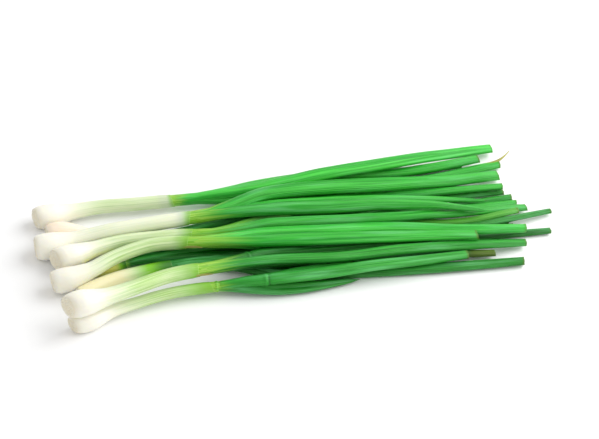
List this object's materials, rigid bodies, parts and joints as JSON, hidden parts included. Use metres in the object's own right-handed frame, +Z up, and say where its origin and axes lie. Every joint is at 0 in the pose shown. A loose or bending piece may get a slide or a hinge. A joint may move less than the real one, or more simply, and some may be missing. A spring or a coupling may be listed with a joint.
{
  "type": "spring onion bunch",
  "caption": "Bunch of trimmed spring onions lying on a surface: white bulbs and pale shanks at one end, long hollow green leaves cut square at the other.",
  "frame": {"origin": "on the surface the bunch lies on, under the middle of its box", "axes": "+X from the bulbs to the leaf tips, +Z up, +Y to the left when looking along +X"},
  "size_m": [0.3574, 0.1322, 0.0302],
  "materials": {
    "bulb_white": "satin",
    "leaf_green": "satin"
  },
  "bodies": {
    "root": {"onion_1_bulb": "bulb_white", "onion_1_leaves": "leaf_green", "onion_2_bulb": "bulb_white", "onion_2_leaves": "leaf_green", "onion_3_bulb": "bulb_white", "onion_3_leaves": "leaf_green", "onion_4_bulb": "bulb_white", "onion_4_leaves": "leaf_green", "onion_5_bulb": "bulb_white", "onion_5_leaves": "leaf_green", "onion_6_bulb": "bulb_white", "onion_6_leaves": "leaf_green", "onion_7_bulb": "bulb_white", "onion_7_leaves": "leaf_green", "onion_8_bulb": "bulb_white", "onion_8_leaves": "leaf_green", "onion_9_bulb": "bulb_white", "onion_9_leaves": "leaf_green"}
  },
  "joints": []
}
